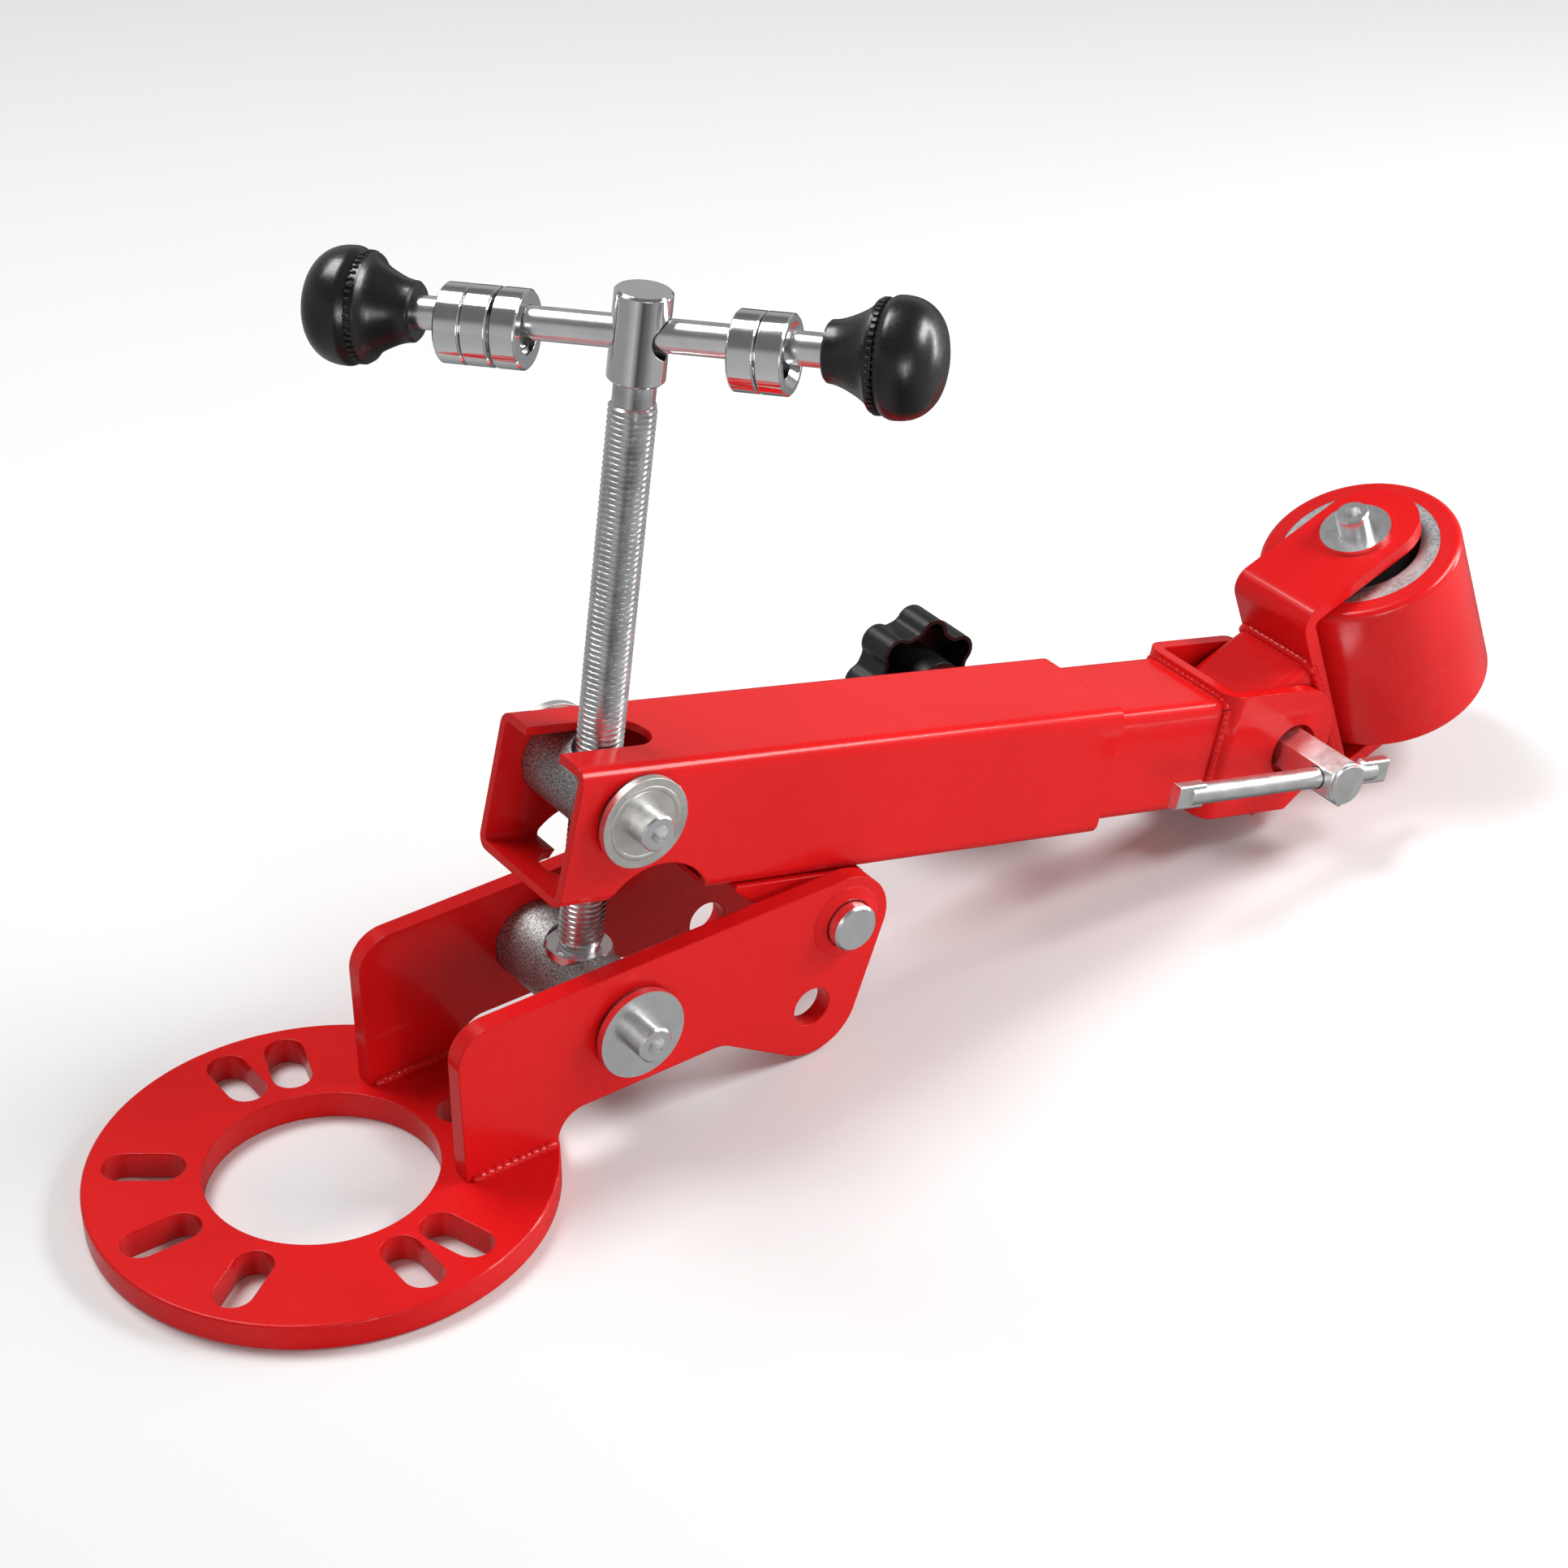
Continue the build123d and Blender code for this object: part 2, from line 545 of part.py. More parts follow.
with BuildPart() as knob_caps:
    dome_length = KNOB_LENGTH - KNOB_CAP_WIDEST
    dome = []
    for angle in (0, 15, 30, 45, 60, 75, 90):
        out = cos(radians(angle)) ** KNOB_FULLNESS if angle < 90 else 0
        up = sin(radians(angle)) ** KNOB_FULLNESS
        dome.append((KNOB_CAP_R * out, KNOB_CAP_WIDEST + dome_length * up))
    for plane in knob_planes:
        with BuildSketch(profile_plane(plane)):
            with BuildLine():
                Polyline(
                    (0, KNOB_LENGTH),
                    (0, KNOB_BORE_DEPTH),
                    (KNOB_BORE_R, KNOB_BORE_DEPTH),
                    (KNOB_BORE_R, KNOB_SEAM_END),
                    (KNOB_SEAM_R, KNOB_SEAM_END),
                )
                Spline((KNOB_SEAM_R, KNOB_SEAM_END), dome[0], tangents=((0.5, 1), (0, 1)))
                Spline(*dome, tangents=((0, 1), (-1, 0)))
            make_face()
        revolve(axis=Axis(plane.origin, plane.z_dir))
finish(knob_caps.part, "knob_caps")

for number, start in enumerate(SPACER_STARTS, start=1):
    seat_faces_out = handle_plane(start, SPACER_DROP)
    if start < 0:
        seat_faces_out = handle_plane(start + SPACER_W, SPACER_DROP, flip=True)
    with BuildPart() as spacer:
        turned(
            seat_faces_out,
            (SPACER_BORE_R, 0),
            (SPACER_R - FINE_EDGE, 0),
            (SPACER_R, FINE_EDGE),
            (SPACER_R, SPACER_W - FINE_EDGE),
            (SPACER_R - FINE_EDGE, SPACER_W),
            (SPACER_SEAT_R, SPACER_W),
            (SPACER_BORE_R, SPACER_W - SPACER_SEAT_DEPTH),
        )
    finish(spacer.part, f"spacer_{number}")

# ---- extension ---------------------------------------------------------------------------
with BuildPart() as inner_tube:
    with BuildSketch(arm_section(INNER_LEFT_S)):
        hollow_section(INNER_TUBE, INNER_TUBE, INNER_CORNER_R, TUBE_WALL)
    extrude(amount=YOKE_BACK_S - INNER_LEFT_S)
finish(inner_tube.part, "inner_tube")

with BuildPart() as yoke:
    inner_half = YOKE_HALF - YOKE_T
    with BuildSketch(arm_plan(TUBE_BOTTOM_H)) as plan:
        with BuildLine():
            Polyline(
                (YOKE_END_S, YOKE_HALF),
                (YOKE_BACK_S, YOKE_HALF),
                (YOKE_BACK_S, -YOKE_HALF),
                (YOKE_END_S, -YOKE_HALF),
                (YOKE_END_S, -inner_half),
                (YOKE_BACK_S + YOKE_T, -inner_half),
                (YOKE_BACK_S + YOKE_T, inner_half),
                (YOKE_END_S, inner_half),
                close=True,
            )
        make_face()
        for side in (-1, 1):
            round_corner(plan, YOKE_BACK_S, side * YOKE_HALF, YOKE_BEND_R)
            round_corner(plan, YOKE_BACK_S + YOKE_T, side * inner_half, YOKE_BEND_R - YOKE_T)
    extrude(amount=TUBE)
    with BuildSketch(side_plane(TUBE, PIVOT_CENTRE, ARM_X)) as side_view:
        with BuildLine():
            Polyline(
                (YOKE_BACK_S, TUBE_BOTTOM_H),
                (YOKE_END_S - YOKE_CHAMFER, TUBE_BOTTOM_H),
                (YOKE_END_S, TUBE_BOTTOM_H + YOKE_CHAMFER),
                (YOKE_END_S, TUBE_TOP_H),
                (YOKE_BACK_S, TUBE_TOP_H),
                close=True,
            )
        make_face()
        round_corner(side_view, YOKE_END_S, TUBE_TOP_H, YOKE_CORNER_R)
    extrude(amount=2 * TUBE, mode=Mode.INTERSECT)
    rod(bar_plane(0, HINGE_CENTRE), 0, TUBE, BOLT_HOLE_R, Mode.SUBTRACT)
    rod(bar_plane(0, HINGE_CENTRE), -TUBE, 0, NUT_HOLE_R, Mode.SUBTRACT)
finish(yoke.part, "yoke")


def star_outline(shrink=0.0):
    """The lobed outline of the star knob, drawn smaller by shrink all round."""
    with BuildSketch() as outline:
        Circle(STAR_VALLEY_R - shrink)
        with PolarLocations(STAR_TIP_R - STAR_LOBE_R, STAR_LOBES):
            Circle(STAR_LOBE_R - shrink)
        valley_r = STAR_VALLEY_R - shrink
        inner_corners = outline.vertices().filter_by(lambda v: abs(hypot(v.X, v.Y) - valley_r) < 0.01)
        fillet(inner_corners, STAR_BLEND_R + shrink)
    return outline.sketch


star_outer = star_outline()
star_inner = star_outline(STAR_WALL)

with BuildPart() as star_knob:
    lobe_x = ARM_X * cos(radians(STAR_TURN)) + ARM_Z * sin(radians(STAR_TURN))
    with BuildSketch(bar_plane(STAR_FRONT_Y, star_centre, lobe_x)):
        add(star_outer)
    extrude(amount=STAR_BACK_Y - STAR_FRONT_Y)
    fillet(star_knob.faces().sort_by(Axis.Y)[-1].edges(), STAR_EDGE_R)
    with BuildSketch(bar_plane(STAR_FRONT_Y, star_centre, lobe_x)):
        add(star_inner)
        Circle(STAR_BOSS_R, mode=Mode.SUBTRACT)
    extrude(amount=STAR_BACK_Y - STAR_FRONT_Y - 2 * STAR_WALL, mode=Mode.SUBTRACT)
    rod(bar_plane(0, star_centre), STAR_BOSS_Y, STAR_FRONT_Y, STAR_BOSS_R)
    rod(bar_plane(0, star_centre), STAR_BOSS_Y, STUD_END_Y + FIT, STUD_R + FIT, Mode.SUBTRACT)
finish(star_knob.part, "star_knob")

with BuildPart() as knob_stud:
    turned(
        bar_plane(0, star_centre),
        (0, STUD_TIP_Y),
        (STUD_R - 1, STUD_TIP_Y),
        (STUD_R, STUD_TIP_Y + 1),
        (STUD_R, STUD_END_Y),
        (0, STUD_END_Y),
    )
finish(knob_stud.part, "knob_stud")

# ---- head clamp ----------------------------------------------------------------------------
with BuildPart() as clamp_bolt:
    with BuildSketch(bar_plane(YOKE_HALF, HINGE_CENTRE, ARM_X)):
        RegularPolygon(BOLT_HEAD_AF / 2, 6, major_radius=False)
    extrude(amount=BOLT_HEAD_T)
    rod(bar_plane(0, HINGE_CENTRE), BOLT_END_Y, YOKE_HALF, BOLT_R)
finish(clamp_bolt.part, "clamp_bolt")

with BuildPart() as clamp_nut:
    with BuildSketch(bar_plane(NUT_SHOULDER_Y, HINGE_CENTRE, ARM_X)):
        RegularPolygon(NUT_AF / 2, 6, major_radius=False, rotation=30)
    extrude(amount=NUT_INNER_Y - NUT_SHOULDER_Y)
    with BuildSketch(bar_plane(NUT_SHOULDER_Y, HINGE_CENTRE)):
        Circle(NUT_END_R + 0.5)
    extrude(amount=NUT_END_Y - NUT_SHOULDER_Y, taper=15)
    rod(bar_plane(0, HINGE_CENTRE), NUT_BORE_END_Y, NUT_INNER_Y, NUT_BORE_R, Mode.SUBTRACT)
    tommy_axis = Plane(origin=HINGE_CENTRE + Y_AXIS * TOMMY_Y, x_dir=Y_AXIS, z_dir=ARM_X)
    rod(tommy_axis, -NUT_AF, NUT_AF, TOMMY_HOLE_R, Mode.SUBTRACT)
finish(clamp_nut.part, "clamp_nut")

with BuildPart() as tommy_bar:
    rod(tommy_axis, TOMMY_LEFT + TOMMY_FLAT_LENGTH / 2, TOMMY_RIGHT - TOMMY_FLAT_LENGTH / 2, TOMMY_R)
    for start in (TOMMY_LEFT, TOMMY_RIGHT - TOMMY_FLAT_LENGTH):
        with BuildSketch(tommy_axis.offset(start)):
            RectangleRounded(TOMMY_FLAT_T, TOMMY_FLAT_W, 1.2)
        extrude(amount=TOMMY_FLAT_LENGTH)
finish(tommy_bar.part, "tommy_bar")

# ---- head ------------------------------------------------------------------------------------
with BuildPart() as head_stub:
    with BuildSketch(Plane(origin=HINGE_CENTRE + HEAD_X * STUB_LEFT_A, x_dir=Y_AXIS, z_dir=HEAD_X)):
        hollow_section(STUB_W, STUB_H, STUB_CORNER_R, STUB_WALL)
    extrude(amount=FORK_BACK_A - STUB_LEFT_A)
    rod(bar_plane(0, HINGE_CENTRE), -TUBE, TUBE, BOLT_HOLE_R, Mode.SUBTRACT)
finish(head_stub.part, "head_stub")

with BuildPart() as roller_fork:
    fork_end_a = AXLE_A + FORK_PAST_AXLE + FORK_HALF_W
    fork_height = FORK_HIGH_U - FORK_LOW_U
    fork_mid_u = (FORK_HIGH_U + FORK_LOW_U) / 2
    with BuildSketch(side_plane(FORK_HALF_W, HINGE_CENTRE, HEAD_X)) as fork_side:
        with BuildLine():
            Polyline(
                (fork_end_a, FORK_HIGH_U),
                (FORK_BACK_A, FORK_HIGH_U),
                (FORK_BACK_A, FORK_LOW_U),
                (fork_end_a, FORK_LOW_U),
                (fork_end_a, FORK_LOW_U + FORK_T),
                (FORK_BACK_A + FORK_T, FORK_LOW_U + FORK_T),
                (FORK_BACK_A + FORK_T, FORK_HIGH_U - FORK_T),
                (fork_end_a, FORK_HIGH_U - FORK_T),
                close=True,
            )
        make_face()
        for corner_u, step in ((FORK_HIGH_U, -FORK_T), (FORK_LOW_U, FORK_T)):
            round_corner(fork_side, FORK_BACK_A, corner_u, FORK_BEND_R)
            round_corner(fork_side, FORK_BACK_A + FORK_T, corner_u + step, FORK_BEND_R - FORK_T)
    extrude(amount=2 * FORK_HALF_W)
    with BuildSketch(head_plane(0, FORK_LOW_U)):
        with Locations((FORK_BACK_A + (AXLE_A + FORK_PAST_AXLE - FORK_BACK_A) / 2, 0)):
            Rectangle(AXLE_A + FORK_PAST_AXLE - FORK_BACK_A, 2 * FORK_HALF_W)
        with Locations((AXLE_A + FORK_PAST_AXLE, 0)):
            Circle(FORK_HALF_W)
        with Locations((AXLE_A, 0)):
            Circle(AXLE_HOLE_R, mode=Mode.SUBTRACT)
    extrude(amount=fork_height, mode=Mode.INTERSECT)
finish(roller_fork.part, "roller_fork")

axle_low = head_plane(AXLE_A, FORK_LOW_U + FORK_T)
axle_high = head_plane(AXLE_A, FORK_HIGH_U - FORK_T)
axle_middle = head_plane(AXLE_A, fork_mid_u)
axle_length = fork_height - 2 * FORK_T
roller_middle = head_plane(AXLE_A, (ROLLER_HIGH_U + ROLLER_LOW_U) / 2)
roller_half = (ROLLER_HIGH_U - ROLLER_LOW_U) / 2

with BuildPart() as roller_axle:
    rod(axle_low, 0, axle_length, AXLE_R)
    rod(axle_low, 0, CAP_HOLE_DEPTH, CAP_HOLE_R, Mode.SUBTRACT)
    rod(axle_low, axle_length - CAP_HOLE_DEPTH, axle_length, CAP_HOLE_R, Mode.SUBTRACT)
finish(roller_axle.part, "roller_axle")

with BuildPart() as axle_washers:
    with BuildSketch(head_plane(AXLE_A, FORK_HIGH_U)):
        Circle(AXLE_WASHER_R)
        Circle(AXLE_HOLE_R, mode=Mode.SUBTRACT)
    extrude(amount=AXLE_WASHER_T)
    mirror(about=axle_middle)
finish(axle_washers.part, "axle_washers")

with BuildPart() as axle_cap_screws:
    cap_screw(head_plane(AXLE_A, FORK_HIGH_U + AXLE_WASHER_T))
    mirror(about=axle_middle)
finish(axle_cap_screws.part, "axle_cap_screws")

with BuildPart() as axle_spacers:
    race_face = roller_half - BEARING_RECESS
    rod(roller_middle, race_face, axle_length / 2, RACE_R)
    rod(roller_middle, race_face, axle_length / 2, AXLE_R + FIT, Mode.SUBTRACT)
    mirror(about=roller_middle)
finish(axle_spacers.part, "axle_spacers")

with BuildPart() as bearing_races:
    rod(roller_middle, race_face - BEARING_W, race_face, RACE_R)
    rod(roller_middle, race_face - BEARING_W, race_face, BEARING_BORE_R, Mode.SUBTRACT)
    mirror(about=roller_middle)
finish(bearing_races.part, "bearing_races")

# ---- roller ------------------------------------------------------------------------------------
with BuildPart() as bearing_shells:
    rod(roller_middle, race_face - BEARING_W, race_face, BEARING_R - FIT)
    rod(roller_middle, race_face - BEARING_W, race_face, SEAL_R, Mode.SUBTRACT)
    mirror(about=roller_middle)
finish(bearing_shells.part, "bearing_shells")

with BuildPart() as roller_core:
    seat_face = race_face - BEARING_W
    turned(
        roller_middle,
        (CORE_R, -roller_half),
        (CORE_R, roller_half),
        (BEARING_R, roller_half),
        (BEARING_R, seat_face),
        (CORE_WAIST_R, seat_face),
        (CORE_WAIST_R, -seat_face),
        (BEARING_R, -seat_face),
        (BEARING_R, -roller_half),
    )
finish(roller_core.part, "roller_core")

with BuildPart() as roller_sleeve:
    turned(
        roller_middle,
        (CORE_R + FIT, -roller_half),
        (ROLLER_LOW_R, -roller_half),
        (ROLLER_HIGH_R, roller_half),
        (CORE_R + FIT, roller_half),
    )
    rims = roller_sleeve.edges().filter_by(GeomType.CIRCLE).filter_by(lambda rim: rim.radius > CORE_R + 1)
    fillet(rims, ROLLER_EDGE_R)
finish(roller_sleeve.part, "roller_sleeve")
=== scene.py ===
"""Looks for the fender roller: paint, steel, threads, weld beads and studio light."""

import json
import random
from math import cos, radians, sin, tau

import bmesh
import bpy
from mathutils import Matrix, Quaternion, Vector


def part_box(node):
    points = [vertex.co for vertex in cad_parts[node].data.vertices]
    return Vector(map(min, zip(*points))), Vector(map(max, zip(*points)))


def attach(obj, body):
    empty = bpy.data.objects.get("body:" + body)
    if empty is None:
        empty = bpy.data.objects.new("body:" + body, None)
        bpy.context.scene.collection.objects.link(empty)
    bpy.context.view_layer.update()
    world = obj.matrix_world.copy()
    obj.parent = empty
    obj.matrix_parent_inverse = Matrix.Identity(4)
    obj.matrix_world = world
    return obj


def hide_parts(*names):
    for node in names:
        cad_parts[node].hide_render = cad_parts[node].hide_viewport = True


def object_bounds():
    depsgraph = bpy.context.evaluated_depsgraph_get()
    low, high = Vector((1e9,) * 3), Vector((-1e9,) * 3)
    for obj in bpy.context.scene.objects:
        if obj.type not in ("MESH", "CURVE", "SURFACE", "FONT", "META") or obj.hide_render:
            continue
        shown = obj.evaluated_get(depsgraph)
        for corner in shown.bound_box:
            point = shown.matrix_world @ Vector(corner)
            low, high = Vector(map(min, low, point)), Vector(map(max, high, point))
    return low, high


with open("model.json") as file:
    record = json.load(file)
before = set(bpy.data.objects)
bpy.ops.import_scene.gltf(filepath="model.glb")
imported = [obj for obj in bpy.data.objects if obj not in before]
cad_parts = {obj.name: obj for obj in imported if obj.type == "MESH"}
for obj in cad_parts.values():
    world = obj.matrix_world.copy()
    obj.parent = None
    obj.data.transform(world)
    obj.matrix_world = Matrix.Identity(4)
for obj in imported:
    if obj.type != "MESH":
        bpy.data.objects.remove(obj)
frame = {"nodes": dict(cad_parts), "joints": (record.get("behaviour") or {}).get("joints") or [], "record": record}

cad_low, cad_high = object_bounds()
nodes = frame["nodes"]
joints = {joint["name"]: joint for joint in frame["joints"]}
MM = 0.001

# ---- camera ------------------------------------------------------------------------
CAMERA_PLACE = Vector((-0.40516, -0.85096, 0.76131))
CAMERA_AIM = Vector((0.48178, 0.68768, -0.54312))
CAMERA_ROLL = -0.76
CAMERA_LENS = 81.53

# ---- directions and centres read from the joints --------------------------------------
Y_AXIS = Vector((0, 1, 0))
SCREW_AXIS = -Vector(joints["screw_spin"]["axis"])
ARM_AXIS = Vector(joints["tube_slide"]["axis"])
ARM_UP = ARM_AXIS.cross(Y_AXIS)
HEAD_UP = Vector(joints["roller_spin"]["axis"])
HEAD_AXIS = Y_AXIS.cross(HEAD_UP)
HANDLE_AXIS = Vector(joints["handle_slide"]["axis"])
LOWER = Vector(joints["lower_tilt"]["pos_m"])
HINGE = Vector(joints["head_pitch"]["pos_m"])

# ---- sizes of the Blender pieces, in mm ------------------------------------------------
# Distances along the screw are from the lower trunnion's centre.
THREAD_START, THREAD_END = 13.5, 212.0
THREAD_PITCH, THREAD_CREST, THREAD_ROOT = 2.0, 8.0, 7.0
THREAD_STEPS = 40
CORE_R = 6.9
FOOT_R, FOOT_START, FOOT_CHAMFER = 6.0, -14.5, 1.0
CLIP_GROOVE_R, CLIP_GROOVE_START, CLIP_GROOVE_END = 5.2, -11.5, -10.1
NECK_R, NECK_START, NECK_END = 7.0, 212.5, 220.0

CHEEK_BEAD_R, CHEEK_BEAD_START, CHEEK_BEAD_END = 2.3, 37.0, 70.0
TUBE_BEAD_R, TUBE_BEAD_BACK, TUBE_BEAD_HALF, TUBE_BEAD_CORNER = 1.9, -39.1, 22.2, 4.5
FORK_BEAD_R, FORK_BEAD_OUT, FORK_BEAD_CORNER = 2.2, 21.0, 5.0
FORK_BEAD_HALF_WIDTH, FORK_BEAD_HALF_HEIGHT = 20.0, 25.0
RIPPLE = 2.6
BEAD_SIDES = 14

COLLAR_PROFILE = ((5.0, -0.2), (5.0, 0.02), (3.0, 0.3), (1.4, 1.0), (0.5, 1.3), (0.5, -0.2))
RING_PROFILE = ((0.72, -0.1), (0.72, 0.0), (0.75, 0.09), (0.80, 0.09), (0.83, 0.0), (0.83, -0.1))
KNOB_SEAM = 85.4
SEAM_TEETH, SEAM_VALLEY_R = 46, 17.4
SEAM_PROFILE = ((17.0, -0.9), (18.1, -0.9), (18.3, -0.6), (18.3, 0.9), (17.0, 0.9))


# ---- mesh helpers ------------------------------------------------------------------------
def across(axis):
    """A unit vector square to an axis."""
    side = Vector((0, 0, 1)) if abs(axis.z) < 0.9 else Vector((1, 0, 0))
    return axis.cross(side).normalized()


def along(centre, axis, distance):
    """The point at a distance in mm from a centre."""
    return centre + axis * distance * MM


def rounded_loop(centre, side, up, half_side, half_up, corner, steps=5):
    """Points round a rounded rectangle, in metres, back to where they start."""
    points = []
    for quarter, (sx, sy) in enumerate(((1, 1), (-1, 1), (-1, -1), (1, -1))):
        for step in range(steps + 1):
            turn = radians(90 * quarter + 90 * step / steps)
            x = sx * (half_side - corner) + corner * cos(turn)
            y = sy * (half_up - corner) + corner * sin(turn)
            points.append(centre + (side * x + up * y) * MM)
    points.append(points[0].copy())
    return points


def new_object(name, mesh, body, material):
    """Link a finished mesh as a piece that rides on a body."""
    piece = bpy.data.objects.new(name, mesh)
    bpy.context.scene.collection.objects.link(piece)
    mesh.materials.append(material)
    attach(piece, body)
    return piece


def smooth(mesh, angle=40):
    """Shade a mesh smooth, except across edges sharper than angle."""
    for face in mesh.polygons:
        face.use_smooth = True
    mesh.set_sharp_from_angle(angle=radians(angle))


def lathe(centre, axis, profile, steps=96, wave=None):
    """A solid of revolution from (radius, distance) points in mm; wave may change a radius."""
    shape = bmesh.new()
    u = across(axis)
    v = axis.cross(u)
    rings = []
    for step in range(steps):
        turn = tau * step / steps
        outward = u * cos(turn) + v * sin(turn)
        ring = []
        for radius, distance in profile:
            if wave:
                radius = wave(turn, radius)
            ring.append(shape.verts.new(centre + (outward * radius + axis * distance) * MM))
        rings.append(ring)
    for step in range(steps):
        ring, after = rings[step], rings[(step + 1) % steps]
        for i in range(len(profile)):
            j = (i + 1) % len(profile)
            shape.faces.new((ring[i], ring[j], after[j], after[i]))
    bmesh.ops.remove_doubles(shape, verts=shape.verts, dist=1e-6)
    bmesh.ops.recalc_face_normals(shape, faces=shape.faces)
    mesh = bpy.data.meshes.new("lathe")
    shape.to_mesh(mesh)
    shape.free()
    smooth(mesh)
    return mesh


def threaded_rod(centre, axis, start, end, pitch, root, crest):
    """An open helical thread surface between two distances along the axis."""
    shape = bmesh.new()
    u = across(axis)
    v = axis.cross(u)
    outline = ((root, 0.0), (root, 0.12), (crest, 0.44), (crest, 0.56), (root, 0.88), (root, 1.0))
    steps = int((end - start) / pitch * THREAD_STEPS)
    rings = []
    for step in range(steps + 1):
        turn = tau * step / THREAD_STEPS
        rise = start + pitch * step / THREAD_STEPS
        outward = u * cos(turn) + v * sin(turn)
        fade = min(1.0, step / THREAD_STEPS, (steps - step) / THREAD_STEPS)
        ring = []
        for radius, share in outline:
            radius = root + (radius - root) * fade
            distance = min(rise + pitch * share, end)
            ring.append(shape.verts.new(centre + (outward * radius + axis * distance) * MM))
        rings.append(ring)
    for ring, after in zip(rings, rings[1:]):
        for i in range(len(outline) - 1):
            shape.faces.new((ring[i], ring[i + 1], after[i + 1], after[i]))
    bmesh.ops.remove_doubles(shape, verts=shape.verts, dist=1e-6)
    bmesh.ops.recalc_face_normals(shape, faces=shape.faces)
    mesh = bpy.data.meshes.new("thread")
    shape.to_mesh(mesh)
    shape.free()
    smooth(mesh, 30)
    return mesh


def weld_bead(path, radius, seed):
    """A rippled weld bead along a path of points in metres, closed at its ends."""
    dice = random.Random(seed)
    points = []
    for start, end in zip(path, path[1:]):
        count = max(2, int((end - start).length / (0.45 * MM)))
        points += [start.lerp(end, i / count) for i in range(count)]
    points.append(path[-1])
    shape = bmesh.new()
    rings = []
    phase = 0.0
    size = 1.0
    travelled = 0.0
    for i, point in enumerate(points):
        ahead = points[min(i + 1, len(points) - 1)] - points[max(i - 1, 0)]
        ahead.normalize()
        if i:
            travelled += (point - points[i - 1]).length / MM
        if travelled - phase > RIPPLE * size:
            phase = travelled
            size = dice.uniform(0.75, 1.25)
        wave = (travelled - phase) / (RIPPLE * size)
        ends = min(1.0, (i + 0.3) / 4, (len(points) - 1 - i + 0.3) / 4)
        swell = radius * (0.82 + 0.22 * (1 - wave) ** 0.7) * (0.55 + 0.45 * ends)
        side = across(ahead)
        other = ahead.cross(side)
        ring = []
        for k in range(BEAD_SIDES):
            turn = tau * k / BEAD_SIDES
            lumpy = swell * (1 + dice.uniform(-0.03, 0.03))
            ring.append(shape.verts.new(point + (side * cos(turn) + other * sin(turn)) * lumpy * MM))
        rings.append(ring)
    for ring, after in zip(rings, rings[1:]):
        for k in range(BEAD_SIDES):
            beside = (k + 1) % BEAD_SIDES
            shape.faces.new((ring[k], ring[beside], after[beside], after[k]))
    shape.faces.new(rings[0])
    shape.faces.new(rings[-1])
    bmesh.ops.recalc_face_normals(shape, faces=shape.faces)
    mesh = bpy.data.meshes.new("bead")
    shape.to_mesh(mesh)
    shape.free()
    smooth(mesh, 70)
    return mesh


# ---- materials -----------------------------------------------------------------------------
def new_material(name, base, metallic=0.0, roughness=0.4, coat=0.0, coat_roughness=0.05):
    """A material with a Principled shader, and its node tree's parts."""
    material = bpy.data.materials.new(name)
    material.use_nodes = True
    tree = material.node_tree
    shader = tree.nodes["Principled BSDF"]
    shader.inputs["Base Color"].default_value = (*base, 1)
    shader.inputs["Metallic"].default_value = metallic
    shader.inputs["Roughness"].default_value = roughness
    shader.inputs["Coat Weight"].default_value = coat
    shader.inputs["Coat Roughness"].default_value = coat_roughness
    return material, tree, shader


def add_noise(tree, scale, detail=4.0):
    """A noise texture in object space, scale in cycles per metre."""
    place = tree.nodes.new("ShaderNodeTexCoord")
    noise = tree.nodes.new("ShaderNodeTexNoise")
    noise.inputs["Scale"].default_value = scale
    noise.inputs["Detail"].default_value = detail
    tree.links.new(place.outputs["Object"], noise.inputs["Vector"])
    return noise


def ramp(tree, source, low, high, start=0.3, end=0.7):
    """Map a texture to a range of greys or colours."""
    node = tree.nodes.new("ShaderNodeValToRGB")
    node.color_ramp.elements[0].position = start
    node.color_ramp.elements[1].position = end
    for element, value in zip(node.color_ramp.elements, (low, high)):
        element.color = (*value, 1) if isinstance(value, tuple) else (value, value, value, 1)
    tree.links.new(source, node.inputs["Fac"])
    return node.outputs["Color"]


def bands(tree, source, stops):
    """Map a value to greys through (position, grey) stops."""
    node = tree.nodes.new("ShaderNodeValToRGB")
    greys = node.color_ramp.elements
    ends = (greys[0], greys[1])
    for element, (position, grey) in zip(ends, (stops[0], stops[-1])):
        element.position = position
        element.color = (grey, grey, grey, 1)
    for position, grey in stops[1:-1]:
        greys.new(position).color = (grey, grey, grey, 1)
    tree.links.new(source, node.inputs["Fac"])
    return node.outputs["Color"]


def add_bump(tree, shader, height, distance, strength=1.0, edge=0.0):
    """Bump from a height texture, over edges that look rounded by edge metres."""
    bump = tree.nodes.new("ShaderNodeBump")
    bump.inputs["Strength"].default_value = strength
    bump.inputs["Distance"].default_value = distance
    tree.links.new(height, bump.inputs["Height"])
    if edge:
        rounding = tree.nodes.new("ShaderNodeBevel")
        rounding.samples = 6
        rounding.inputs["Radius"].default_value = edge
        tree.links.new(rounding.outputs["Normal"], bump.inputs["Normal"])
    tree.links.new(bump.outputs["Normal"], shader.inputs["Normal"])
    tree.links.new(bump.outputs["Normal"], shader.inputs["Coat Normal"])


